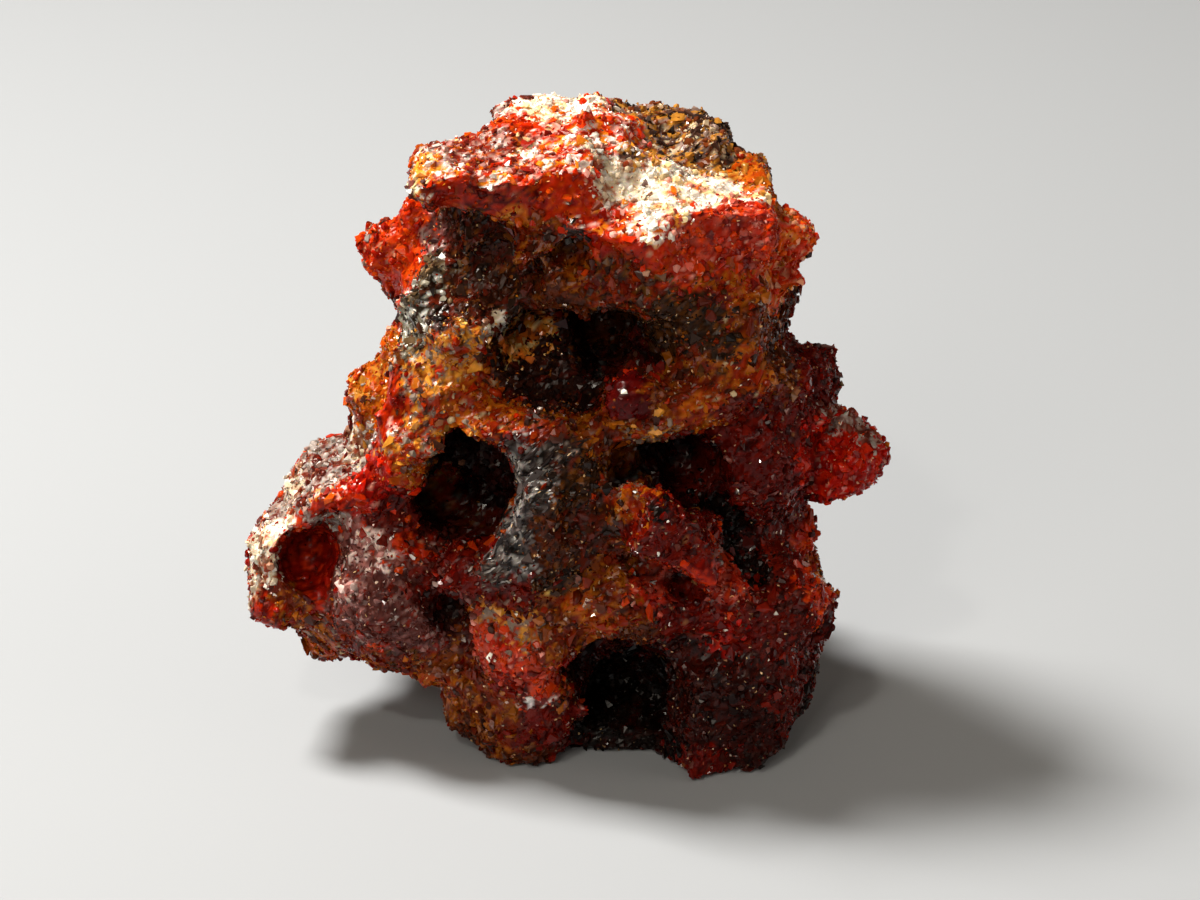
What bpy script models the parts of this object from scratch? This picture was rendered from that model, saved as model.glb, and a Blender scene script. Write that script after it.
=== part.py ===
"""A zincite cluster: one natural lump of red and amber zincite on its own dark crust.

The lump is sculpted as a mineral grows. Overlapping masses are fused into one body, vugs are
cut out of it, stubby crystals are grown on its ledges and knobs, the whole surface is
roughened, and the points that it stands on are cut flat at the level of the origin.
The tables are in millimetres and the scene is in metres. +Z is up and -Y is the front.
"""

import math
import random

import bmesh
import bpy
from mathutils import Euler, Matrix, Vector, noise

MM = 0.001

# The whole specimen. The tables below are drawn close to this size and scaled to it.
HEIGHT = 50.0
MOST_TRIANGLES = 9300
SEED = 11

# Fusing and roughening.
FUSE_VOXEL = 0.75
FINE_VOXEL = 0.45
BLOCK_SIZE = 5.2
BLOCK_STEP = 0.9
CHIP_SIZE = 2.1
CHIP_STEP = 0.32
CRYSTALS = 150
CRYSTAL_WIDTH = 1.6
HASH = 91.7  # spreads the cells of the noise, so that neighbours break differently

# The body. Masses are (name, centre, half sizes, turn in degrees); these are round.
CORE = (
    ("lower_middle", (0, 2.6, 12), (16, 11.1, 9.5), (0, 0, 0)),
    ("lower_back", (2, 7.5, 12), (13.5, 7.5, 10.5), (0, 0, 0)),
    ("cave_wall", (4, 3.0, 4.5), (8.5, 5.0, 6), (0, 0, 0)),
    ("waist", (2.2, 2.3, 26), (14, 10.8, 10), (0, 0, 0)),
    ("neck", (2.6, 1.3, 34), (13.8, 9.8, 7), (0, 0, 0)),
    ("right_neck", (14.3, 0.2, 33.6), (3.4, 5.4, 5.2), (0, 0, 0)),
    ("left_waist", (-9.5, 2.5, 25.5), (4.6, 6.2, 6.5), (0, 0, 0)),
    ("right_waist", (14.2, -0.8, 18.2), (4.4, 5.6, 5.6), (0, 0, 0)),
    ("crown_core", (2.5, 0, 40.2), (12.3, 9, 6.2), (0, 0, 0)),
    ("crown_face", (10.6, -4.4, 40.0), (5.6, 4.4, 4.2), (0, 0, 0)),
)
FEET = (
    ("left_foot", (-3.0, -8.0, 5), (5.2, 4.6, 7), (0, 0, 0)),
    ("left_foot_heel", (-7.0, -7.6, 3.2), (2.3, 2.4, 2.4), (0, 0, 0)),
    ("left_foot_shelf", (-2.6, -10.4, 7.6), (4.0, 3.4, 2.0), (0, 6, 0)),
    ("right_foot", (11.5, -7.6, 5.5), (6.8, 5.6, 8), (0, 0, 0)),
    ("right_heel", (15.5, -3.5, 3.6), (3.5, 3.6, 4.4), (0, 0, 0)),
    ("back_right_foot", (11, 8.5, 4), (5.5, 5, 6), (0, 0, 0)),
    ("back_left_foot", (-8, 8.5, 4.5), (5.5, 5, 6.5), (0, 0, 0)),
)
FRONT = (
    ("pillar_root", (-2.4, -10.5, 11.5), (4.4, 4.0, 6.0), (0, 8, 0)),
    ("brow", (5.5, -6, 38.2), (10, 4.8, 3.4), (0, 0, 0)),
    ("jamb", (11.2, -6.6, 33.4), (4.6, 4.2, 4.8), (0, -6, 0)),
    ("cheek", (-6.0, -6.2, 34.4), (4.8, 4.2, 2.0), (0, 0, 0)),
    ("grey_flank", (-9.2, -2.4, 34.6), (3.2, 4.2, 4.6), (0, 0, 0)),
    ("left_flank", (-8.5, -5, 28.5), (5, 4.6, 5), (0, 0, 0)),
    ("left_flank_low", (-10.5, -6.8, 24.6), (4, 4.4, 3.0), (0, 0, 0)),
    ("right_wall", (13.4, -4.4, 24.6), (5.4, 6.0, 7.4), (0, 0, 0)),
    ("right_skirt", (12.0, -8.2, 13.6), (7.8, 5.0, 4.2), (0, 10, 0)),
    ("right_edge", (15.0, -1, 8.0), (5.2, 7.0, 7.4), (0, 0, 0)),
    ("apron", (4.5, -10.5, 14.5), (6, 4.0, 3.8), (0, 14, 0)),
)
LEFT = (
    ("left_lobe", (-12.8, -6.2, 13.0), (5.9, 5.8, 6.0), (0, 0, 0)),
    ("left_lobe_under", (-11.8, -6.6, 8.8), (5.4, 4.2, 3.0), (0, 10, 0)),
    ("left_lobe_low", (-16.5, -2.5, 9.8), (6.2, 5.2, 3.6), (0, 16, 0)),
    ("left_heel", (-18.4, -2.9, 7.5), (2.3, 2.6, 2.3), (0, 0, 0)),
    ("left_lobe_top", (-13.2, -6.6, 18.0), (4.0, 3.4, 2.8), (0, 0, 0)),
    ("pocket_rim", (-21.0, -4.4, 14.3), (3.3, 4, 4.3), (0, 0, 0)),
    ("pocket_sill", (-20.7, -6.2, 11.7), (3.2, 2.8, 1.4), (0, -6, 0)),
    ("shoulder", (-16.8, -2, 20.4), (3.9, 4.6, 2.8), (0, -30, 0)),
    ("shoulder_tip", (-19.5, -2.5, 18.9), (2.2, 2.6, 2.1), (0, 0, 0)),
    ("left_back_bulge", (-13.0, 5, 14.4), (6.2, 6.4, 6.8), (0, 0, 0)),
)
# Masses broken to flat faces: the ledges of the crown and the slabs of the back.
SLABS = (
    ("crown_left", (-4.9, -3.6, 45.5), (6.2, 4.4, 1.7), (0, -3, 8)),
    ("crown_left_back", (-0.6, 2.2, 46.6), (4.8, 3.6, 1.7), (0, 2, 10)),
    ("pit_rim", (-0.4, -7.4, 43.0), (1.8, 1.4, 1.0), (0, 20, 10)),
    ("crown_left_lip", (-4.2, -6.3, 45.5), (6.5, 2.4, 2.1), (4, 5, 5)),
    ("crown_middle", (4.6, -6.0, 43.6), (3.4, 5.2, 1.5), (26, 4, -6)),
    ("crown_right", (10.2, -3.8, 42.8), (4.9, 5.2, 2.1), (5, 2, 8)),
    ("crown_right_back", (7.6, 3.4, 45.0), (4.8, 3.2, 2.0), (-4, 6, -14)),
    ("crown_right_edge", (13.2, -0.6, 41.6), (2.0, 4.2, 2.8), (0, 14, 0)),
    ("crown_back", (1.5, 6.0, 40.0), (8.5, 3.4, 4.6), (-14, 0, 4)),
    ("back_slab_high", (5.5, 8.8, 29.5), (6.5, 3.2, 5.6), (16, 8, -10)),
    ("back_slab_low", (-3.5, 11.8, 17), (7.0, 3.0, 5.2), (10, -12, 12)),
    ("back_ledge", (8.5, 11.6, 12.5), (5.4, 3.4, 3.0), (-12, 10, -18)),
)
# What is missing from the body: vugs, bays and undercuts.
HOLLOWS = (
    ("upper_vug", (3.1, -9.0, 32.6), (3.5, 9.0, 4.0), (0, 25, 0)),
    ("upper_vug_left", (-1.4, -10.4, 32.7), (4.1, 7.4, 3.5), (0, 8, 0)),
    ("left_vug", (-5.6, -11.0, 23.3), (4.2, 8.2, 5.9), (0, 14, 0)),
    ("left_vug_low", (-7.0, -11.5, 18.6), (2.6, 6.6, 2.3), (0, -20, 0)),
    ("right_bay", (8.3, -12.6, 24.0), (3.7, 8.6, 3.9), (0, 20, 0)),
    ("low_cave", (5.0, -14.0, 3.0), (4.8, 9.5, 7.4), (0, 16, 0)),
    ("low_cave_right", (8.4, -15.0, 2.6), (3.2, 5.6, 3.8), (0, -10, 0)),
    ("crown_recess", (-5.4, -11.4, 39.8), (5.0, 6.6, 4.6), (0, 6, 0)),
    ("crown_bowl", (8.6, 0.6, 48.0), (4.0, 3.4, 2.5), (0, 0, 0)),
    ("back_vug", (-4.0, 13.5, 28.5), (3.2, 4.4, 3.6), (0, 20, 0)),
    ("back_pit", (5.0, 16.0, 20.5), (2.4, 4.0, 2.0), (0, 0, 0)),
    ("back_cleft", (9.0, 12.0, 21.0), (1.4, 4.6, 4.6), (0, 28, 0)),
    ("back_low", (1.5, 14.5, 5.0), (3.2, 5.0, 3.4), (0, -15, 0)),
    ("side_pit", (-15.0, 9.5, 20.5), (3.0, 3.0, 2.4), (0, 0, 0)),
)
# Later growth, standing in front of the hollows and round their mouths.
BARS = (
    ("pillar_top", (-0.4, -11, 24.8), (4.1, 3.3, 4.8), (0, 0, 0)),
    ("pillar", (-0.4, -10.6, 18.5), (4.4, 3.8, 7.0), (0, 14, 0)),
    ("bridge_left", (-1.5, -9.6, 27.8), (6.4, 3.2, 1.9), (0, 0, 0)),
    ("bridge_right", (8.8, -8.8, 29.4), (7.8, 3.4, 2.4), (0, -20, 0)),
    ("bridge_end", (14.6, -5.6, 30.6), (3.4, 3.8, 3.4), (0, 0, 0)),
    ("bridge_knob", (4.8, -11.2, 30.6), (2.4, 2.3, 2.2), (0, 0, 0)),
    ("cave_sill", (4.5, -4.5, 0.6), (7.0, 4.5, 2.6), (0, 0, 0)),
    ("wedge", (-7.3, -9.6, 16.6), (2.3, 3.2, 2.2), (0, 35, 0)),
    ("arch_left", (-19.0, -6.4, 19.4), (2.2, 2.4, 1.3), (0, -40, 0)),
    ("arch_middle", (-16.0, -7.6, 21.2), (2.6, 2.4, 1.1), (0, -8, 0)),
)
CHIPS = (
    ("pillar_edge", (-2.3, -11.8, 19.2), (2.2, 2.6, 6.4), (0, 17, -24)),
    ("tongue", (8.4, -13.0, 20.2), (4.0, 3.2, 2.4), (-14, 32, 8)),
    ("tongue_root", (6.2, -9.0, 19.2), (3.2, 3.6, 2.2), (0, 10, 0)),
    ("leaf", (4.9, -13.2, 23.2), (1.4, 1.1, 2.2), (0, 32, 10)),
    ("foot_slab", (11.0, -10.0, 4.6), (3.0, 2.8, 4.6), (0, 0, 30)),
    ("back_left_slab", (-7.0, 9.6, 3.4), (4.2, 3.0, 3.6), (0, 10, 25)),
    ("back_right_slab", (11.6, 8.0, 4.2), (3.4, 4.2, 4.2), (0, -8, -20)),
    ("pit_ledge", (-1.6, -8.4, 41.2), (2.2, 2.0, 0.8), (6, -14, 0)),
)
# Knobs of crystals: centre, half sizes, how many crystals and their width.
KNOBS = (
    ("left_knob", (-12.8, 0.4, 37.4), (2.3, 2.4, 2.5), 12, 1.7),
    ("left_knob_low", (-12.1, 0.8, 34.8), (2.0, 2.2, 2.2), 6, 1.5),
    ("left_knob_high", (-10.4, 0.2, 40.4), (1.3, 1.8, 1.4), 4, 1.2),
    ("amber_tab", (-12.2, -1.0, 30.8), (1.2, 1.8, 1.6), 3, 1.6),
    ("orange_knob", (-14.0, -2.6, 27.2), (2.3, 2.4, 2.0), 9, 1.6),
    ("orange_knob_low", (-14.8, -2.4, 24.8), (1.8, 2.2, 1.7), 6, 1.4),
    ("right_tower", (18.2, -0.6, 27.6), (2.6, 3.2, 3.1), 14, 1.8),
    ("right_knob", (21.0, -3.4, 22.3), (2.9, 3.2, 2.8), 18, 1.5),
    ("right_knob_top", (18.2, -3.0, 24.6), (2.7, 2.8, 2.5), 12, 1.7),
    ("right_knob_shelf", (20.2, -3.6, 20.6), (2.8, 2.8, 2.1), 10, 1.4),
    ("edge_knob_high", (17.8, -2.0, 15.4), (1.7, 1.9, 2.1), 5, 1.3),
    ("edge_knob_low", (18.8, -3.0, 9.6), (2.0, 1.9, 1.9), 7, 1.3),
    ("crown_right_knob", (16.9, -1.2, 39.4), (2.2, 2.6, 2.7), 8, 1.7),
    ("back_knob_high", (6.0, 8.2, 37.0), (3.2, 2.4, 2.8), 10, 2.0),
    ("back_knob_left", (-9.0, 8.8, 25.0), (3.2, 2.8, 3.2), 12, 2.0),
    ("back_knob_low", (1.0, 13.8, 11.0), (3.2, 2.2, 2.6), 9, 1.9),
    ("foot_tip", (11.3, -11.0, 2.2), (2.4, 2.0, 2.2), 5, 1.5),
)
# Small openings through the later growth.
CLEFTS = (
    ("pocket", (-19.2, -9.2, 16.0), (2.5, 5.6, 2.3), (0, 0, 0)),
    ("left_cleft", (-9.4, -13.0, 13.6), (1.1, 7.6, 4.4), (0, -32, 0)),
    ("tongue_cleft", (7.4, -15.6, 16.6), (4.4, 8.0, 1.0), (0, 29, 0)),
    ("valley", (12.7, -13.0, 19.2), (1.2, 7.6, 5.2), (0, -28, 0)),
    ("shoulder_notch", (-22.6, -4.0, 19.0), (2.4, 6.0, 0.8), (0, 12, 0)),
    ("knob_notch", (20.6, -3.0, 18.6), (3.6, 6.0, 0.7), (0, 0, 0)),
    ("crown_pit", (0.4, -9.8, 40.6), (1.5, 3.4, 1.3), (0, 0, 0)),
)


def clear_scene():
    for thing in list(bpy.data.objects):
        bpy.data.objects.remove(thing)


def placement(centre, half_sizes, turn):
    """The matrix that lays a unit primitive at a table's place, size and turn."""
    angles = Euler([math.radians(angle) for angle in turn])
    return Matrix.LocRotScale(Vector(centre) * MM, angles, Vector(half_sizes) * MM)


def add_ball(mesh, centre, half_sizes, turn=(0, 0, 0)):
    matrix = placement(centre, half_sizes, turn)
    bmesh.ops.create_icosphere(mesh, subdivisions=3, radius=1, matrix=matrix)


def add_block(mesh, centre, half_sizes, turn):
    bmesh.ops.create_cube(mesh, size=2, matrix=placement(centre, half_sizes, turn))


def add_crystal(mesh, place, outward, width, chance):
    """A stubby six-sided crystal, hexagonal as zincite is, pointing about outward."""
    lean = Vector([chance.uniform(-0.5, 0.5) for _ in range(3)])
    turn = (outward + lean).to_track_quat("Z", "Y")
    spin = Matrix.Rotation(chance.uniform(0, math.pi), 4, "Z")
    matrix = Matrix.LocRotScale(place, turn, (1, 1, 1)) @ spin
    bmesh.ops.create_cone(
        mesh,
        cap_ends=True,
        segments=6,
        radius1=0.5 * width * MM,
        radius2=0.5 * width * chance.uniform(0.35, 0.7) * MM,
        depth=width * chance.uniform(0.9, 1.4) * MM,
        matrix=matrix,
    )


def add_knob(mesh, centre, half_sizes, crystals, width, chance):
    """A rounded knob with crystals standing all over it."""
    add_ball(mesh, centre, half_sizes)
    for number in range(crystals):
        rise = 1 - 2 * (number + 0.5) / crystals
        around = number * math.pi * (3 - math.sqrt(5)) + chance.uniform(-0.4, 0.4)
        flat = math.sqrt(1 - rise * rise)
        outward = Vector((flat * math.cos(around), flat * math.sin(around), rise))
        place = Vector([c + 0.9 * h * o for c, h, o in zip(centre, half_sizes, outward)])
        add_crystal(mesh, place * MM, outward, width * chance.uniform(0.75, 1.2), chance)


def object_from(mesh, name):
    data = bpy.data.meshes.new(name)
    mesh.to_mesh(data)
    mesh.free()
    made = bpy.data.objects.new(name, data)
    bpy.context.scene.collection.objects.link(made)
    return made


def settle(thing):
    """Turns an object's modifiers into its own mesh."""
    graph = bpy.context.evaluated_depsgraph_get()
    data = bpy.data.meshes.new_from_object(thing.evaluated_get(graph))
    thing.modifiers.clear()
    thing.data = data


def fuse(thing, voxel):
    """Makes overlapping closed shapes one skin of even faces."""
    remesh = thing.modifiers.new("Fuse", "REMESH")
    remesh.mode = "VOXEL"
    remesh.voxel_size = voxel * MM
    settle(thing)


def masses(name, round_ones, flat_ones, knobs=()):
    """One object of overlapping masses. They are joined when it is next fused."""
    chance = random.Random(SEED)
    mesh = bmesh.new()
    for _, centre, half_sizes, turn in round_ones:
        add_ball(mesh, centre, half_sizes, turn)
    for _, centre, half_sizes, turn in flat_ones:
        add_block(mesh, centre, half_sizes, turn)
    for _, centre, half_sizes, crystals, width in knobs:
        add_knob(mesh, centre, half_sizes, crystals, width, chance)
    return object_from(mesh, name)


def join(thing, other):
    """Adds another object's mesh to this one and removes the other object."""
    mesh = bmesh.new()
    mesh.from_mesh(thing.data)
    mesh.from_mesh(other.data)
    mesh.to_mesh(thing.data)
    mesh.free()
    bpy.data.objects.remove(other)


def cut(thing, cutter):
    boolean = thing.modifiers.new("Cut", "BOOLEAN")
    boolean.operation = "DIFFERENCE"
    boolean.object = cutter
    settle(thing)
    bpy.data.objects.remove(cutter)


def hollow_out(thing, hollows, voxel):
    cutter = masses("hollows", hollows, ())
    fuse(cutter, voxel)
    cut(thing, cutter)


def broken(place, size):
    """Height at a place of a surface broken into flat tilted facets about one size across."""
    spot = place / size
    centre = noise.voronoi(spot)[1][0]
    tilt = noise.cell_vector(centre * HASH) - Vector((0.5, 0.5, 0.5))
    return 0.5 * noise.cell(centre * HASH) + 1.6 * tilt.dot(spot - centre)


def roughen(thing):
    normals = [vertex.normal.copy() for vertex in thing.data.vertices]
    for vertex, normal in zip(thing.data.vertices, normals):
        place = vertex.co / MM
        crag = BLOCK_STEP * broken(place, BLOCK_SIZE) + CHIP_STEP * broken(place, CHIP_SIZE)
        vertex.co += normal * crag * MM


def grow_crystals(thing, count):
    """Stands crystals at random over the surface, joined to it when it is next fused."""
    chance = random.Random(SEED)
    mesh = bmesh.new()
    mesh.from_mesh(thing.data)
    mesh.verts.ensure_lookup_table()
    for root in chance.sample(list(mesh.verts), count):
        width = CRYSTAL_WIDTH * chance.uniform(0.6, 1.4)
        add_crystal(mesh, root.co.copy(), root.normal.copy(), width, chance)
    mesh.to_mesh(thing.data)
    mesh.free()


def keep_largest(thing):
    """Drops the crumbs that cutting leaves loose."""
    mesh = bmesh.new()
    mesh.from_mesh(thing.data)
    unseen = set(mesh.verts)
    islands = []
    while unseen:
        island = {unseen.pop()}
        edge = list(island)
        while edge:
            vertex = edge.pop()
            for link in vertex.link_edges:
                other = link.other_vert(vertex)
                if other in unseen:
                    unseen.remove(other)
                    island.add(other)
                    edge.append(other)
        islands.append(island)
    islands.sort(key=len)
    for island in islands[:-1]:
        bmesh.ops.delete(mesh, geom=list(island), context="VERTS")
    mesh.to_mesh(thing.data)
    mesh.free()


def thin_out(thing, triangles):
    """Fewer, larger facets, all of them triangles."""
    triangulate = thing.modifiers.new("Triangulate", "TRIANGULATE")
    triangulate.quad_method = "SHORTEST_DIAGONAL"
    settle(thing)
    decimate = thing.modifiers.new("Decimate", "DECIMATE")
    decimate.ratio = triangles / len(thing.data.polygons)
    settle(thing)


def ground_cutter():
    """Everything below the level that the specimen stands on."""
    mesh = bmesh.new()
    add_block(mesh, (0, 0, -HEIGHT), (HEIGHT, HEIGHT, HEIGHT), (0, 0, 0))
    return object_from(mesh, "ground")


def stand(thing):
    """Scales the lump to its height and moves it over the origin, with its feet at z = 0."""
    heights = [vertex.co.z for vertex in thing.data.vertices]
    scale = HEIGHT * MM / (max(heights) - min(heights))
    across = [vertex.co.x for vertex in thing.data.vertices]
    along = [vertex.co.y for vertex in thing.data.vertices]
    middle = Vector((min(across) + max(across), min(along) + max(along), 2 * min(heights))) / 2
    thing.data.transform(Matrix.Scale(scale, 4) @ Matrix.Translation(-middle))


def zincite_material():
    material = bpy.data.materials.new("zincite")
    material.use_nodes = True
    shader = material.node_tree.nodes["Principled BSDF"]
    shader.inputs["Base Color"].default_value = (0.36, 0.045, 0.015, 1)
    shader.inputs["Roughness"].default_value = 0.35
    shader.inputs["Metallic"].default_value = 0
    shader.inputs["IOR"].default_value = 2.0
    material.diffuse_color = (0.36, 0.045, 0.015, 1)
    return material


def build():
    clear_scene()
    lump = masses("zincite_cluster", CORE + FEET + FRONT + LEFT, SLABS)
    fuse(lump, FUSE_VOXEL)
    hollow_out(lump, HOLLOWS, FUSE_VOXEL)
    join(lump, masses("later_growth", BARS, CHIPS, KNOBS))
    fuse(lump, FINE_VOXEL)
    hollow_out(lump, CLEFTS, FINE_VOXEL)
    fuse(lump, FINE_VOXEL)
    roughen(lump)
    grow_crystals(lump, CRYSTALS)
    fuse(lump, FINE_VOXEL)
    keep_largest(lump)
    thin_out(lump, MOST_TRIANGLES)
    cut(lump, ground_cutter())
    stand(lump)
    lump.data.materials.clear()
    lump.data.materials.append(zincite_material())
    specimen = bpy.data.collections.new("zincite_cluster")
    bpy.context.scene.collection.children.link(specimen)
    bpy.context.scene.collection.objects.unlink(lump)
    specimen.objects.link(lump)


build()
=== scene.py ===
"""Looks of the zincite cluster: a crusty core, a druse of small crystals on it, and a plain studio."""
import math
from collections import namedtuple

import bmesh
import bpy
import numpy as np
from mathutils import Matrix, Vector, noise
from mathutils.bvhtree import BVHTree


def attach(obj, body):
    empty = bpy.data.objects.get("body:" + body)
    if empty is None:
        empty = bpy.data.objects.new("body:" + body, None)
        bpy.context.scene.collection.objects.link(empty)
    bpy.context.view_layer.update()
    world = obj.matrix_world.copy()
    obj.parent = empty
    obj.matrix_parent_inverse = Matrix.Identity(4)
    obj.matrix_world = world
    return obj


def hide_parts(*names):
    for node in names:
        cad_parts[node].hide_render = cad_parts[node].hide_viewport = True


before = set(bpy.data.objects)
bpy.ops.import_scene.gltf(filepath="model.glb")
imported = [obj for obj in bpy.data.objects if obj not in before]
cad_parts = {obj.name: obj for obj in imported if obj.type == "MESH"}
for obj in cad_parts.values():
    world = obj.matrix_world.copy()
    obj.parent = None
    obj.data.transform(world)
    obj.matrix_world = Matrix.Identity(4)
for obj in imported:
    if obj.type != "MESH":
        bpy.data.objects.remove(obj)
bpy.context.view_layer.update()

# A millimetre in metres. Down to the materials, lengths are in millimetres and colours in sRGB.
MM = 0.001

# All that is drawn by chance follows from this, Blender's noise vectors too.
SEED = 5

# How open a corner is to the room: how many rays it casts, how far, and from how far off the surface.
RAYS = 40
RAY_REACH = 14.0
RAY_GAP = 0.25

# The core under the crystals: its voxels, how far it is drawn in all over, and the depth of its relief.
SKIN_VOXEL = 0.35
SKIN_INSET = 0.12
SKIN_RELIEF = 0.36

# The core's facets: scale and strength of the large and the small ones, how far they tilt, and how
# far apart the noise for their tilts is read.
FACET_LAYERS = ((0.42, 0.8), (1.15, 0.5))
FACET_TILT = 1.6
FACET_SPREAD = 3.7

# The grit on those facets: scale and strength.
GRIT_SCALE = 2.6
GRIT = 0.2

# How bright the core is beside its grains.
CORE_TONE = 0.85

# How far a grain may stand out of the solid.
PROUD = 0.04

# How the borders of zones wander: scale and reach of a slow and a quick noise.
WANDER = ((0.45, 1.2), (1.6, 0.9))

# How far the grains of two zones mix at their border.
ZONE_BLUR = 0.8

# Patches: what is added to each reach, how many reaches a patch holds, and where its cover is gone.
PATCH_MARGIN = 0.4
PATCH_HOLDS = 1.75
PATCH_COVERS = 1.7

# Beyond the patches, zones follow two noises: each one's scale and strength, and the slow one's shift.
SLOW_SCALE = 0.13
SLOW = 0.62
SLOW_SHIFT = (7, 3, 1)
QUICK_SCALE = 0.5
QUICK = 0.2

# The Z of a surface's direction: over this it is on top, over this it faces up, under this it is steep.
TOP_OVER = 0.45
UP_OVER = 0.62
STEEP_UNDER = 0.2

# Markings inside a zone: scale and strength of two noises, and how much chance the grains add.
MARKINGS = ((0.9, 0.8), (2.1, 0.5))
MARKING_CHANCE = 0.2

# Painted shade, darker the less open a surface is: how much of its colour a surface keeps: the least,
# the openness up to which it keeps only that, the span from there to all of it, the curve between them,
# and how much of the loss a patch makes good.
KEPT_LEAST = 0.06
KEPT_FROM = 0.16
KEPT_SPAN = 0.34
KEPT_CURVE = 1.3
PATCH_KEEPS = 0.6

# Layers of crystals: how many, and the range of their sizes.
LAYERS = [
    (3000, 0.85, 1.4),
    (10000, 0.45, 0.78),
    (56000, 0.24, 0.42),
]

# The druse thins out in hollows: the openness where it would end, how far over that it is whole, and
# the share that always stays.
THIN_FROM = 0.02
THIN_SPAN = 0.2
THINNEST = 0.15

# How far a grain's middle lies over the core, in its own sizes.
LIFT = (-0.12, 0.16)

# How much a grain is stretched along each of its axes, and the spread of its light as a logarithm.
STRETCH = (0.8, 1.25)
LIGHT_SPREAD = 0.2

# How far the grains lean away from the surface's direction: loose ones, and combed ones.
LOOSE_TILT = 0.45
COMBED_TILT = 0.15

# The way the combed ones lie, and how far they stray from it.
COMBED_WAY = (0.8, 0.1, 0.6)
COMBED_STRAY = 0.12

# A stub is a short crystal with a blunt top, here in its own sizes: its sides, its radius, the heights
# of its foot, its shoulder, the rim of its top and its tip, and that rim's width beside the radius.
STUB_SIDES = 6
STUB_RADIUS = 0.42
STUB_FOOT = -0.4
STUB_SHOULDER = 0.12
STUB_RIM = 0.42
STUB_TIP = 0.5
STUB_RIM_WIDTH = (0.45, 0.75)

# Grains over these sizes are blocks or lumps, and this share of the lumps are stubs.
BLOCK_OVER = 0.8
LUMP_OVER = 0.6
STUBS = 0.1

# Frosted grains are no larger than this.
FROST_SIZE = 0.7

# Share of the grains that are worn round.
WORN = 0.15

# Grains that keep less of their colour than this under the painted shade are dull and nearly black.
HOLLOW = 0.2

# Share of the grains under this size that turn into glints where the surface is this open: glossy
# grains whose colour leans to a painted highlight.
GLINTS = 0.1
GLINT_UNDER = 0.5
GLINT_OPENNESS = 0.34

# The size of these glints, their painted highlight colour, and how far their own colour leans to it.
GLINT_SIZE = 0.27
PAINTED_GLINT_COLOUR = (1.0, 0.82, 0.58)
GLINT_TONE = 0.9

# Where the druse is parted into its left and right pieces.
MIDDLE = 2.0

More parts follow.
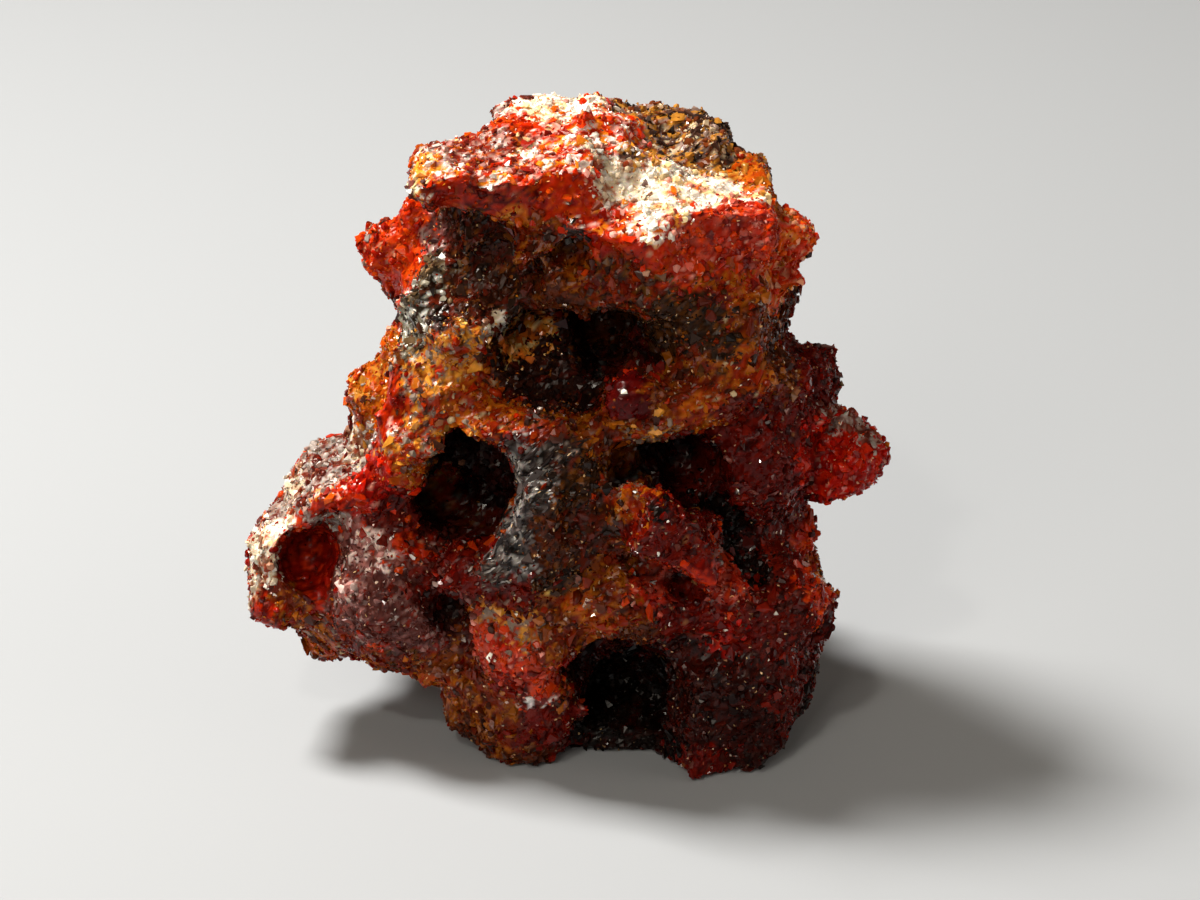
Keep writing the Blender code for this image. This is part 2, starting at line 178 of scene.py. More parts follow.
# Grains a zone is made of: share, family and colour. The druse has two pieces of each family.
ZONES = {
    # Pale zones for tops: partly frost, partly painted highlight of the light from above.
    "frosted_red": [
        (24, "frost", (1.0, 0.94, 0.90)), (12, "orange", (0.97, 0.55, 0.12)),
        (22, "crimson", (0.84, 0.18, 0.02)), (12, "frost", (0.95, 0.66, 0.60)),
        (16, "crimson", (0.58, 0.12, 0.07)), (14, "orange", (0.93, 0.38, 0.05))],
    "frosted_rose": [
        (20, "frost", (1.0, 0.94, 0.90)), (18, "frost", (0.86, 0.62, 0.56)),
        (22, "crimson", (0.64, 0.19, 0.11)), (14, "crimson", (0.46, 0.12, 0.08)),
        (12, "orange", (0.94, 0.42, 0.06)), (14, "frost", (0.70, 0.45, 0.41))],
    # White: partly frost, partly painted highlight.
    "white": [
        (58, "frost", (1.0, 0.96, 0.90)), (18, "frost", (0.98, 0.85, 0.62)),
        (10, "frost", (0.92, 0.60, 0.52)), (14, "orange", (0.92, 0.42, 0.06))],
    "cream": [
        (40, "frost", (0.92, 0.84, 0.72)), (20, "frost", (0.98, 0.95, 0.90)),
        (22, "frost", (0.68, 0.46, 0.34)), (18, "crimson", (0.55, 0.22, 0.12))],
    "pink": [
        (30, "frost", (0.80, 0.64, 0.58)), (22, "frost", (0.95, 0.88, 0.84)),
        (26, "crimson", (0.62, 0.27, 0.20)), (22, "crimson", (0.46, 0.16, 0.11))],
    "orange": [
        (36, "orange", (0.86, 0.34, 0.03)), (20, "orange", (0.92, 0.48, 0.09)),
        (32, "crimson", (0.76, 0.20, 0.02)), (4, "frost", (0.98, 0.85, 0.66)),
        (8, "dark", (0.42, 0.17, 0.04))],
    "amber": [
        (30, "gold", (0.66, 0.29, 0.03)), (18, "gold", (0.82, 0.44, 0.06)),
        (34, "orange", (0.58, 0.17, 0.02)), (18, "dark", (0.30, 0.11, 0.03))],
    "gold": [
        (30, "gold", (0.78, 0.48, 0.13)), (12, "gold", (0.96, 0.78, 0.40)),
        (34, "gold", (0.58, 0.29, 0.06)), (24, "dark", (0.32, 0.14, 0.06))],
    "bright_gold": [
        (32, "gold", (1.0, 0.64, 0.24)), (14, "gold", (1.0, 0.84, 0.56)),
        (34, "gold", (0.92, 0.46, 0.12)), (20, "dark", (0.42, 0.19, 0.10))],
    "bright_orange": [
        (38, "orange", (0.93, 0.47, 0.08)), (28, "orange", (0.86, 0.34, 0.03)),
        (18, "gold", (0.95, 0.62, 0.22)), (16, "crimson", (0.76, 0.20, 0.02))],
    "bright_red": [
        (38, "orange", (0.90, 0.34, 0.05)), (34, "crimson", (0.84, 0.19, 0.03)),
        (16, "frost", (0.95, 0.64, 0.48)), (12, "gold", (0.94, 0.58, 0.20))],
    "sunlit": [
        (30, "frost", (0.98, 0.88, 0.66)), (24, "gold", (0.95, 0.62, 0.22)),
        (22, "orange", (0.92, 0.48, 0.10)), (24, "frost", (1.0, 0.95, 0.88))],
    "scarlet": [
        (45, "crimson", (0.82, 0.17, 0.02)), (24, "orange", (0.90, 0.28, 0.04)),
        (25, "crimson", (0.64, 0.09, 0.01)), (6, "frost", (0.94, 0.60, 0.46))],
    "glass_scarlet": [
        (52, "crimson", (0.87, 0.18, 0.01)), (25, "orange", (0.94, 0.30, 0.03)),
        (21, "crimson", (0.68, 0.09, 0.01)), (2, "frost", (0.95, 0.70, 0.55))],
    "glass_red": [
        (34, "crimson", (0.66, 0.09, 0.00)), (26, "crimson", (0.84, 0.18, 0.01)),
        (24, "crimson", (0.38, 0.04, 0.01)), (14, "orange", (0.76, 0.26, 0.02)),
        (2, "frost", (0.88, 0.50, 0.40))],
    "right_knob": [
        (42, "crimson", (0.76, 0.07, 0.01)), (24, "crimson", (0.86, 0.15, 0.02)),
        (27, "crimson", (0.58, 0.04, 0.01)), (7, "frost", (0.93, 0.62, 0.54))],
    "crimson": [
        (42, "crimson", (0.58, 0.07, 0.01)), (24, "crimson", (0.70, 0.13, 0.02)),
        (25, "crimson", (0.40, 0.04, 0.01)), (6, "frost", (0.62, 0.27, 0.20)),
        (3, "gold", (0.90, 0.58, 0.34))],
    "dark_crimson": [
        (46, "crimson", (0.44, 0.05, 0.01)), (26, "crimson", (0.56, 0.09, 0.02)),
        (24, "crimson", (0.28, 0.03, 0.01)), (4, "frost", (0.60, 0.28, 0.22))],
    "maroon": [
        (45, "crimson", (0.33, 0.05, 0.02)), (26, "crimson", (0.44, 0.08, 0.02)),
        (23, "dark", (0.20, 0.04, 0.02)), (6, "frost", (0.45, 0.20, 0.16))],
    "deep_red": [
        (42, "crimson", (0.52, 0.06, 0.01)), (30, "crimson", (0.36, 0.03, 0.01)),
        (28, "orange", (0.68, 0.15, 0.02))],
    "bridge_knob": [
        (60, "crimson", (0.46, 0.03, 0.03)), (30, "crimson", (0.56, 0.06, 0.03)),
        (10, "crimson", (0.30, 0.02, 0.02))],
    "plum_red": [
        (38, "crimson", (0.60, 0.12, 0.04)), (16, "frost", (0.66, 0.25, 0.18)),
        (24, "orange", (0.74, 0.20, 0.03)), (16, "crimson", (0.42, 0.09, 0.07)),
        (6, "frost", (0.80, 0.50, 0.44))],
    "plum": [
        (32, "dark", (0.36, 0.19, 0.17)), (28, "dark", (0.27, 0.11, 0.09)),
        (12, "frost", (0.48, 0.31, 0.29)), (20, "crimson", (0.44, 0.09, 0.03)),
        (8, "frost", (0.60, 0.50, 0.47))],
    "plum_silver": [
        (30, "dark", (0.44, 0.28, 0.26)), (20, "frost", (0.72, 0.63, 0.60)),
        (28, "dark", (0.30, 0.15, 0.13)), (9, "frost", (0.96, 0.93, 0.91)),
        (13, "crimson", (0.56, 0.14, 0.05))],
    "silver": [
        (26, "frost", (0.56, 0.53, 0.46)), (16, "frost", (0.84, 0.83, 0.79)),
        (30, "dark", (0.22, 0.18, 0.14)), (28, "dark", (0.40, 0.31, 0.21))],
    "comb": [
        (30, "dark", (0.17, 0.13, 0.12)), (24, "dark", (0.34, 0.30, 0.29)),
        (20, "frost", (0.68, 0.65, 0.63)), (26, "dark", (0.08, 0.06, 0.05))],
    "pillar": [
        (34, "dark", (0.20, 0.14, 0.12)), (22, "dark", (0.34, 0.27, 0.24)),
        (12, "frost", (0.62, 0.56, 0.52)), (18, "dark", (0.10, 0.06, 0.04)),
        (14, "crimson", (0.42, 0.13, 0.04))],
    "bowl": [
        (27, "dark", (0.32, 0.21, 0.17)), (12, "dark", (0.15, 0.09, 0.07)),
        (19, "gold", (0.78, 0.52, 0.18)), (14, "frost", (0.60, 0.49, 0.44)),
        (18, "dark", (0.46, 0.21, 0.08)), (10, "frost", (0.90, 0.80, 0.66))],
    "olive_dark": [
        (36, "dark", (0.18, 0.10, 0.05)), (22, "dark", (0.28, 0.15, 0.05)),
        (16, "dark", (0.10, 0.06, 0.04)), (12, "gold", (0.48, 0.26, 0.06)),
        (14, "crimson", (0.38, 0.11, 0.03))],
    "umber": [
        (40, "dark", (0.22, 0.10, 0.05)), (26, "crimson", (0.34, 0.10, 0.04)),
        (22, "dark", (0.13, 0.07, 0.04)), (12, "gold", (0.46, 0.24, 0.07))],
    "violet_dark": [
        (40, "dark", (0.18, 0.11, 0.09)), (22, "dark", (0.33, 0.25, 0.24)),
        (20, "dark", (0.08, 0.05, 0.04)), (18, "crimson", (0.34, 0.09, 0.04))],
    "brown": [
        (36, "dark", (0.34, 0.14, 0.04)), (30, "orange", (0.46, 0.18, 0.03)),
        (22, "dark", (0.22, 0.08, 0.03)), (12, "gold", (0.62, 0.32, 0.07))],
    "speckle": [
        (24, "gold", (0.60, 0.31, 0.06)), (16, "gold", (0.76, 0.50, 0.16)),
        (18, "frost", (0.46, 0.39, 0.34)), (27, "crimson", (0.54, 0.14, 0.03)),
        (15, "dark", (0.22, 0.12, 0.08))],
    "speckle_red": [
        (36, "crimson", (0.55, 0.12, 0.02)), (22, "orange", (0.74, 0.23, 0.03)),
        (16, "dark", (0.36, 0.21, 0.17)), (14, "gold", (0.62, 0.36, 0.10)),
        (12, "dark", (0.22, 0.09, 0.05))],
    # Painted shade: near black where the cave, the valley and the slots lie in shade.
    "pitch": [
        (55, "dark", (0.07, 0.03, 0.02)), (30, "dark", (0.13, 0.06, 0.04)),
        (15, "crimson", (0.20, 0.04, 0.02))],
    "dome": [
        (45, "dark", (0.20, 0.09, 0.06)), (30, "dark", (0.11, 0.05, 0.04)),
        (20, "crimson", (0.30, 0.08, 0.04)), (5, "gold", (0.62, 0.36, 0.12))],
    # Painted highlight: the near-white glint facets.
    "glare": [
        (100, "glint", (1.0, 0.98, 0.92))],
    # The low right foot: dark red, made darker still as painted shade of the less lit lower part.
    "dark_foot": [
        (38, "crimson", (0.25, 0.06, 0.03)), (28, "crimson", (0.35, 0.09, 0.04)),
        (26, "dark", (0.16, 0.05, 0.03)), (8, "frost", (0.42, 0.24, 0.20))],
}

# How bright a zone is beside the colours above.
TONES = {
    "amber": 0.5, "bowl": 0.85, "bright_orange": 0.58, "bridge_knob": 0.35, "brown": 0.55,
    "comb": 0.8, "cream": 0.86, "crimson": 0.37, "dark_crimson": 0.53, "dark_foot": 0.46,
    "deep_red": 1.3, "frosted_red": 0.92, "frosted_rose": 0.74, "glass_red": 0.55,
    "glass_scarlet": 0.6, "gold": 1.2, "maroon": 0.95, "olive_dark": 0.88, "orange": 0.5,
    "pillar": 0.6, "pink": 0.48, "pitch": 0.7, "plum": 1.25, "plum_red": 1.25,
    "plum_silver": 2.8, "right_knob": 0.74, "scarlet": 0.82, "silver": 1.1, "speckle": 1.35,
    "speckle_red": 0.42, "violet_dark": 0.85, "white": 0.94,
}

# What a zone turns into where it faces up, and where it is steep: tops get the pale zones, partly frost
# and partly painted highlight of the light from above, and steep faces lose them.
FACING_UP = {"glass_red": "frosted_red", "glass_scarlet": "frosted_red"}
STEEP = {"frosted_red": "glass_red", "frosted_rose": "glass_red", "white": "glass_scarlet"}

# How a zone's markings are drawn out: the scale of its noise along x, y and z.
STREAKS = {
    "comb": (0.7, 1.2, 2.0), "pillar": (0.8, 1.2, 1.7),
    "frosted_red": (0.6, 1.0, 1.2), "white": (0.6, 1.0, 1.2),
}

# Glassy zones with little druse, and how much of it they have. The core is smooth there.
GLASSY = {"glass_red": 0.35, "glass_scarlet": 0.4, "bridge_knob": 0.3, "deep_red": 0.2}

# Zones of blades that lie combed.
BLADED = ("comb", "pillar")

# Zones where this share of the crystals are thin flakes.
FLAKY = ("amber", "gold", "bright_gold", "bright_orange", "bowl", "speckle")
FLAKES = 0.4

# Patches of the surface: name, zone, centre and reach.
PATCHES = [
    # The crown's pale patches: partly frost, partly painted highlight.
    ("crown_left_top", "frosted_rose", (-7, -6, 48), 3.5),
    ("crown_left_corner", "sunlit", (-10, -8.5, 48), 1.5),
    ("crown_left_gold", "sunlit", (-9.5, -7, 48.5), 0.5),
    ("crown_left_shoulder", "scarlet", (-4, -1.5, 49), 1),
    ("crown_peak", "white", (-0.5, 1.5, 48.5), 2),
    ("crown_peak_right", "frosted_red", (3.5, -1, 48), 2.5),
    ("crown_middle_top", "frosted_red", (-0.5, -6.5, 48.5), 2.5),
    ("crown_middle_white", "white", (-2.5, -5.5, 48), 1),
    ("crown_right_top", "cream", (3.5, -5.5, 47), 2),
    ("crown_right_streak", "white", (4.5, -5.5, 46), 0.5),
    ("crown_edge_amber", "sunlit", (-4.5, -9, 47.5), 0.5),
    ("crown_left_face", "glass_red", (-7, -10, 47), 2.5),
    ("crown_left_face_right", "glass_red", (-4, -10, 46), 2),
    ("crown_face_amber", "bright_orange", (-3.5, -9.5, 44.5), 1),
    ("crown_face_bright", "glass_scarlet", (-0.5, -9.5, 46.5), 2),
    ("crown_lip", "glass_scarlet", (3.5, -10, 44), 1.5),
    ("crown_lip_tip", "glass_scarlet", (4, -11.5, 43), 1),
    ("crown_band_left", "white", (6, -9.5, 44.5), 1.5),
    ("crown_band", "white", (9, -6.5, 44.5), 2.5),
    ("crown_band_right", "white", (12.5, -4.5, 44.5), 1.5),
    ("crown_band_amber", "sunlit", (9, -9.5, 44), 1),
    ("bowl", "bowl", (9, 0.5, 46.5), 3),
    ("bowl_rim", "bowl", (7.5, 5, 47), 2.5),
    ("bowl_left", "bowl", (5, -3.5, 47), 1),
    ("bowl_right", "bowl", (12, 1.5, 47), 2),
    ("bowl_rim_right", "bright_orange", (14.5, -1.5, 45), 1.5),
    ("right_face", "plum_red", (10.5, -9, 42), 3.5),
    ("right_face_left", "glass_scarlet", (7.5, -11, 41.5), 1.5),
    ("right_face_low", "orange", (10, -10, 40), 1),
    ("right_face_foot", "orange", (12.5, -9.5, 38.5), 1.5),
    ("right_rim", "bright_red", (16, -4, 40.5), 2.5),
    ("right_rim_top", "bright_orange", (15.5, -3, 42.5), 1.5),
    ("right_rim_low", "bright_red", (15.5, -3.5, 37), 1.5),
    ("under_ledge", "umber", (-7, -6.5, 41.5), 3),
    ("under_ledge_low", "umber", (-6.5, -6, 37), 2.5),
    ("under_ledge_grey", "violet_dark", (-5, -5.5, 41.5), 0.5),
    ("ledge_amber", "amber", (-2, -10, 43.5), 1.5),
    ("ledge_amber_low", "amber", (-3, -10.5, 40.5), 1.5),
    ("pit", "violet_dark", (0, -10, 43), 1),
    ("neck_left", "brown", (-1, -9.5, 38), 2),
    ("neck_left_amber", "amber", (0.5, -9, 40), 1.5),
    ("neck_middle", "speckle_red", (4.5, -10.5, 39.5), 2),
    ("neck_middle_low", "brown", (4, -1, 33), 1.5),
    ("neck_right", "olive_dark", (8.5, -10.5, 37), 2.5),
    ("neck_right_red", "maroon", (11, -10.5, 38), 1),
    ("neck_right_low", "olive_dark", (11, -11, 35), 2),
    ("neck_edge", "amber", (14, -9.5, 36.5), 2),
    ("neck_edge_right", "brown", (16.5, -2.5, 33), 1.5),
    ("silver_flank_high", "plum", (-9.5, -3, 40), 1),
    ("silver_flank", "silver", (-10, -5.5, 38.5), 1.5),
    ("silver_flank_low", "silver", (-11, -7, 36), 1),
    ("silver_flank_foot", "silver", (-12, -5.5, 33.5), 1),
    ("silver_flank_dark", "umber", (-9, -6, 37), 1),
    ("silver_flank_knot", "violet_dark", (-9.5, -8, 36), 0.5),
    ("left_knob", "scarlet", (-13, -1.5, 39), 2.5),
    ("left_knob_low", "glass_scarlet", (-13, -2, 37), 1.5),
    # Painted highlight on the knob's top left.
    ("left_knob_frost", "pink", (-14.5, 0, 40), 1),
    ("left_knob_top", "plum", (-11, -10, 46), 1),
    ("gold_patch_left", "gold", (-8, -10, 36), 1),
    ("left_flank_top", "speckle", (-7, -10, 34.5), 1.5),
    ("pale_chip", "cream", (-5.5, -9, 35), 0.5),
    ("gold_patch", "bright_gold", (-3, -4.5, 32.5), 1),
    ("gold_patch_right", "bright_gold", (-2, -3.5, 33), 0.5),
    ("gold_patch_low", "bright_gold", (-4, -5.5, 32), 0.5),
    ("gold_patch_grey", "cream", (-4.5, -7.5, 35), 0.5),
    ("amber_tab", "amber", (-12.5, -6.5, 33), 0.5),
    ("orange_knob", "bright_orange", (-14, -3, 29), 2),
    ("orange_knob_low", "glass_red", (-13, -8.5, 28.5), 1.5),
    ("orange_knob_frost", "pink", (-16, -4, 27), 0.5),
    ("left_flank", "speckle", (-9.5, -9.5, 31.5), 2),
    ("left_flank_orange", "orange", (-6.5, -9.5, 30), 1.5),
    ("left_flank_low", "speckle", (-10.5, -10.5, 27.5), 2),
    ("left_flank_amber", "orange", (-11, -11.5, 25.5), 1.5),
    ("left_flank_spot", "bright_red", (-10, -2, 20), 1),
    ("vug_left_edge", "orange", (-8.5, -10, 29.5), 1),
    ("shoulder", "pink", (-18.5, -5, 22.5), 2.5),
    ("shoulder_left", "cream", (-20.5, -4.5, 20), 1.5),
    ("shoulder_right", "cream", (-15.5, -4, 23.5), 1),
    ("arch", "glass_red", (-17.5, -10, 21.5), 1.5),
    ("arch_right", "right_knob", (-14.5, -10, 22.5), 1.5),
    ("under_arch", "maroon", (-12.5, -9, 20), 1.5),
    ("vug_edge", "bright_gold", (-11, -2.5, 19), 0.5),
    ("pocket", "deep_red", (-19.5, -5, 14.5), 2.5),
    ("pocket_rim", "cream", (-23, -8, 16.5), 1.5),
    ("pocket_rim_top", "white", (-22, -7, 18), 1),
    ("pocket_rim_low", "cream", (-23.5, -7.5, 14.5), 1),
    ("pocket_sill", "amber", (-21, -9, 13), 1),
    ("lobe_edge", "glass_red", (-22.5, -9, 12), 1),
    ("lobe_under", "amber", (-19.5, -7, 9.5), 1),
    ("lobe_under_edge", "orange", (-18.5, -7, 8), 1),
    ("lobe_under_red", "speckle_red", (-17, -9.5, 10), 1),
    ("lobe_under_low", "maroon", (-16, -8.5, 8), 1),
    ("lobe_under_right", "amber", (-15, -8.5, 7), 1.5),
    ("lobe", "plum", (-14, -11.5, 14.5), 3.5),
    ("lobe_bright", "plum_silver", (-14, -10.5, 17.5), 2),
    ("lobe_left", "plum_silver", (-16.5, -10.5, 15), 1.5),
    ("lobe_right", "maroon", (-10, -10, 14.5), 1.5),
    ("lobe_low", "plum", (-12, -12, 11), 2.5),
    ("lobe_flecks", "speckle_red", (-13, -10.5, 8.5), 1.5),
    ("lobe_spot", "scarlet", (-11.5, -10, 18), 1),
    ("lobe_foot", "amber", (-10, -9.5, 7.5), 1),
    ("wedge", "crimson", (-8, -13, 18), 1.5),
    ("pillar_top", "comb", (-2.5, -14.5, 26), 1.5),
    ("pillar_crest", "pillar", (-0.5, -14, 26.5), 1.5),
    ("pillar_edge", "comb", (-4, -14, 23), 1.5),
    ("pillar_edge_low", "comb", (-5, -14, 20), 1.5),
    ("pillar_foot", "pillar", (-5.5, -14.5, 17.5), 1),
    ("pillar_right", "olive_dark", (0.5, -14.5, 25.5), 2),
    ("pillar_right_low", "umber", (2, -14, 22), 2),
    ("pillar_middle", "brown", (-1, -16, 22), 1.5),
    ("pillar_low", "olive_dark", (-0.5, -14, 17), 1.5),
    ("pillar_root", "maroon", (-3.5, -14.5, 16), 1.5),
    ("gold_glints", "speckle", (-4, -14, 13.5), 1.5),
    ("gold_glints_right", "gold", (-2, -14, 15), 1),
    ("fan_top", "amber", (3.5, -14, 17.5), 2),
    ("fan", "orange", (2, -14.5, 14.5), 1.5),
    ("fan_right", "amber", (4.5, -15, 15), 1.5),
    ("fan_left", "amber", (-0.5, -14.5, 13.5), 1.5),
    ("foot_plum", "plum_red", (-5.5, -14, 10.5), 1.5),
    ("foot_left", "amber", (-8, -10.5, 6), 1.5),
    ("foot_amber", "amber", (-5.5, -12, 4.5), 2),
    ("foot_pink", "plum_silver", (-2, -13.5, 6.5), 0.5),
    ("foot_side", "plum_red", (-1.5, -14, 8), 1),
    ("foot_red", "crimson", (-4, -14, 8), 1),
    ("foot_red_low", "crimson", (-2.5, -13, 3.5), 1.5),
    ("foot_grey", "brown", (-7.5, -10.5, 2.5), 1),
    ("foot_tip", "brown", (-2.5, -12, 1), 1),
    ("bridge_left", "orange", (-5, -9.5, 29.5), 1),
    ("bridge_left_low", "speckle_red", (-1, -13.5, 29), 1.5),
    ("bridge_middle", "amber", (2, -11.5, 29), 1.5),
    ("bridge_middle_low", "amber", (3.5, -9.5, 25), 1.5),
    ("bridge_knob", "bridge_knob", (4.5, -14, 32), 1.5),
    ("bridge_right", "amber", (7.5, -12.5, 31), 1.5),
    ("bridge_low", "speckle", (6.5, -11.5, 27.5), 1.5),
    ("bridge_orange", "orange", (10, -12.5, 30), 1.5),
    ("bridge_high", "amber", (10, -11, 32.5), 1.5),
    ("bridge_end", "orange", (13, -11, 33), 2),
    ("bridge_end_top", "brown", (15.5, -8, 33), 1.5),
    ("bridge_end_right", "amber", (16.5, -8.5, 31), 1),
    ("pillar_head", "speckle", (3.5, -13.5, 24.5), 1),
    ("leaf", "orange", (5, -14.5, 23.5), 1),
    ("tongue", "crimson", (7, -16.5, 21.5), 2.5),
    # Painted shade on the tongue's top.
    ("tongue_high", "pitch", (6.5, -17, 24.5), 0.5),
    ("tongue_tip", "deep_red", (10, -16.5, 19), 1),
    ("wall_left", "maroon", (11, -7.5, 23), 2),
    ("wall", "dark_crimson", (14, -11, 27.5), 2.5),
    ("wall_high", "maroon", (13.5, -11.5, 30), 1.5),
    ("wall_low", "dark_crimson", (14.5, -10.5, 23), 2.5),
    ("wall_foot", "maroon", (16, -7, 17), 2),
    ("tower", "dark_crimson", (18.5, -3.5, 29.5), 2.5),
    ("tower_low", "crimson", (18, -7, 27.5), 1.5),
    ("right_knob", "right_knob", (21, -6.5, 24), 2.5),
    # Painted highlights on the knob's top.
    ("right_knob_frost", "pink", (20.5, -4.5, 26.5), 1),
    ("right_knob_frost_right", "pink", (22.5, -5, 25), 1),
    ("edge_knob", "scarlet", (18.5, -4.5, 15), 1),
    ("edge_knob_low", "scarlet", (19, -10.5, 13.5), 1.5),
    ("skirt_left", "plum_red", (6, -14, 16.5), 1.5),
    ("skirt", "crimson", (9, -13.5, 13.5), 2),
    ("skirt_bright", "right_knob", (12, -12.5, 11.5), 1),
    ("skirt_right", "crimson", (14, -13, 13.5), 2),
    ("skirt_top", "plum_red", (13, -13, 16), 1.5),
    ("skirt_edge", "maroon", (17, -12, 12), 2.5),
    ("skirt_brown", "brown", (5.5, -14.5, 12.5), 1),
    ("right_foot", "dark_foot", (10.5, -14, 8), 3.5),
    ("right_foot_low", "dark_foot", (13.5, -13, 4), 2.5),
    ("right_foot_edge", "maroon", (17.5, -10.5, 6.5), 2.5),
    ("right_foot_tip", "crimson", (11, -13, 1), 1),
    ("dome", "dome", (-1.5, -6.5, 30.5), 2),
    ("dome_left", "dome", (-3.5, -6.5, 30.5), 1),
    ("dome_right", "dome", (1, -7, 29.5), 1),
    # Painted shade in the cave between the feet, in the valley and in the slots.
    ("cave_floor", "pitch", (4, -9, 1.5), 1.5),
    ("cave_floor_right", "pitch", (7.5, -10, 1.5), 1),
    ("cave_floor_left", "pitch", (2, -8.5, 2.5), 1),
    ("cave_back", "pitch", (5, -5, 3.5), 2.5),
    ("valley", "pitch", (12.5, -8, 18.5), 1),
    ("valley_low", "pitch", (14, -8.5, 16), 1),
    ("valley_high", "pitch", (11, -7.5, 20.5), 1),
    ("tongue_slot", "pitch", (6.5, -14.5, 15.5), 0.5),
    ("tongue_slot_right", "pitch", (8.5, -14, 14.5), 0.5),
    ("pocket_rim_side", "cream", (-24, -7, 15), 1),
    ("pocket_rim_corner", "cream", (-23, -7.5, 17.5), 1),
    ("pocket_lip", "cream", (-21, -9, 13.5), 0.5),
    ("shoulder_edge", "pink", (-21.5, -4, 18.5), 1),
    ("heel_edge", "orange", (-20.5, -8.5, 11), 0.5),
    ("heel_red", "scarlet", (-14, -10.5, 9.5), 0.5),
    ("heel_orange", "orange", (-10.5, -9.5, 6.5), 1),
    ("foot_heel", "amber", (-9, -9, 4), 1),
    ("right_heel", "maroon", (18, -7.5, 7), 1),
    ("right_heel_low", "dark_foot", (18, -7, 2.5), 1.5),
]

# Painted highlights: large facets painted nearly white to stand out alone as glints: name, place and
# size.
PAINTED_GLINT_FACETS = [
    ("foot", (-5.9, -13.5, 10.6), 0.95),
    ("foot_beside", (-5.5, -13.8, 10.2), 0.5),
    ("bridge_knob", (4.3, -13.7, 32.3), 0.55),
    ("bridge_end", (13.4, -11.2, 32.1), 0.5),
    ("bridge_end_beside", (13.0, -11.5, 31.9), 0.4),
    ("knob_low", (19.0, -5.9, 22.4), 0.45),
    ("knob_high", (20.5, -4.6, 25.6), 0.4),
    ("wall", (16.1, -6.3, 17.4), 0.45),
    ("skirt_right", (15.8, -12.6, 13.5), 0.6),
    ("skirt", (11.9, -12.7, 12.3), 0.55),
    ("skirt_high", (14.6, -12.7, 14.5), 0.4),
    ("tongue_high", (7.6, -16.9, 23.4), 0.4),
    ("tongue", (6.7, -16.8, 20.8), 0.45),
    ("lobe", (-14.7, -9.5, 18.8), 0.6),
    ("lobe_right", (-13.2, -10.2, 18.1), 0.5),
    ("lobe_high", (-14.3, -10.0, 18.5), 0.4),
    ("pillar", (-2.1, -15.3, 25.3), 0.5),
    ("pillar_low", (-3.9, -14.6, 20.9), 0.4),
    ("gold", (-3.9, -14.0, 14.2), 0.45),
    ("vug_edge", (-10.8, -2.7, 18.6), 0.4),
]

# Zones elsewhere, from one end of the noise to the other.
ELSEWHERE = [
    "silver", "plum", "brown", "maroon", "crimson", "dark_crimson", "speckle_red", "orange", "amber"]
TOP_ELSEWHERE = ["plum_silver", "pink", "plum_red", "scarlet", "frosted_red", "orange", "amber"]

# The clouds in the crystals: how many to a metre, their detail, and the range of the noise that counts.
CLOUD_SCALE = 1900
CLOUD_DETAIL = 3
CLOUD_RANGE = (0.3, 0.7)

# The glow under the surface: how far red, green and blue light spread, beside each other and in metres.
GLOW_RADIUS = (1.0, 0.25, 0.1)
GLOW_SCALE = 0.0008

# The studio, in metres and linear light: its floor, the light all round, and what the lamps point at.
FLOOR_SIZE = 4
FLOOR_COLOUR = (0.345, 0.365, 0.395, 1)
FLOOR_ROUGHNESS = 0.75
ROOM_COLOUR = (1.0, 0.87, 0.7, 1)
ROOM_STRENGTH = 0.12
LIT_POINT = (0.0, 0.0, 0.025)

# The lamps: name, place, size, power in watts and colour.
LAMPS = [
    ("key", (-0.21, 0.08, 0.40), 0.11, 4.2, (1.0, 0.95, 0.87)),
    ("spark", (-0.13, -0.33, 0.42), 0.03, 0.45, (1.0, 0.93, 0.8)),
    ("front fill", (-0.2, -0.45, 0.32), 0.22, 0.9, (1.0, 0.9, 0.76)),
    ("right fill", (0.45, -0.15, 0.25), 0.3, 0.35, (1.0, 0.9, 0.78)),
]

# The camera: what it looks at and how far off it is, in metres, its height in degrees, and its lens.
CAMERA_TARGET = (0.002558, 0.0, 0.021335)
CAMERA_DISTANCE = 0.330
CAMERA_HEIGHT = 25
CAMERA_SENSOR_MM = 36
CAMERA_LENS_MM = 129.78
CAMERA_CLIP = 0.01

ZONE_NAMES = list(ZONES)

# The core's points, their directions, its triangles, the face each triangle is part of, and each face's
# zone and openness.
Surface = namedtuple("Surface", "points normals triangles owners face_zone face_value")

# One crystal: its corners, faces and colour, and whether it is worn round.
Grain = namedtuple("Grain", "corners faces colour worn")


def linear(colour):
    """An sRGB colour as linear light."""
    c = np.asarray(colour, float)
    return np.where(c <= 0.04045, c / 12.92, ((c + 0.055) / 1.055) ** 2.4)


def unit(vectors):
    """The vectors, each brought to length 1."""
    return vectors / np.linalg.norm(vectors, axis=1)[:, None]


def solid():
    """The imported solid: its corners in millimetres, its triangles, and a tree for nearest points."""
    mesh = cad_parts["zincite_cluster"].data
    mesh.calc_loop_triangles()
    corners = [v.co / MM for v in mesh.vertices]
    faces = [tuple(t.vertices) for t in mesh.loop_triangles]
    return corners, faces, BVHTree.FromPolygons(corners, faces)


def corner_normals(corners, faces):
    """Outward direction at each corner, from the triangles round it."""
    points = np.array(corners)
    triangles = np.array(faces)
    a, b, c = (points[triangles[:, k]] for k in range(3))
    across = np.cross(b - a, c - a)
    total = np.zeros_like(points)
    for k in range(3):
        np.add.at(total, triangles[:, k], across)
    return [Vector(n) for n in unit(total)]


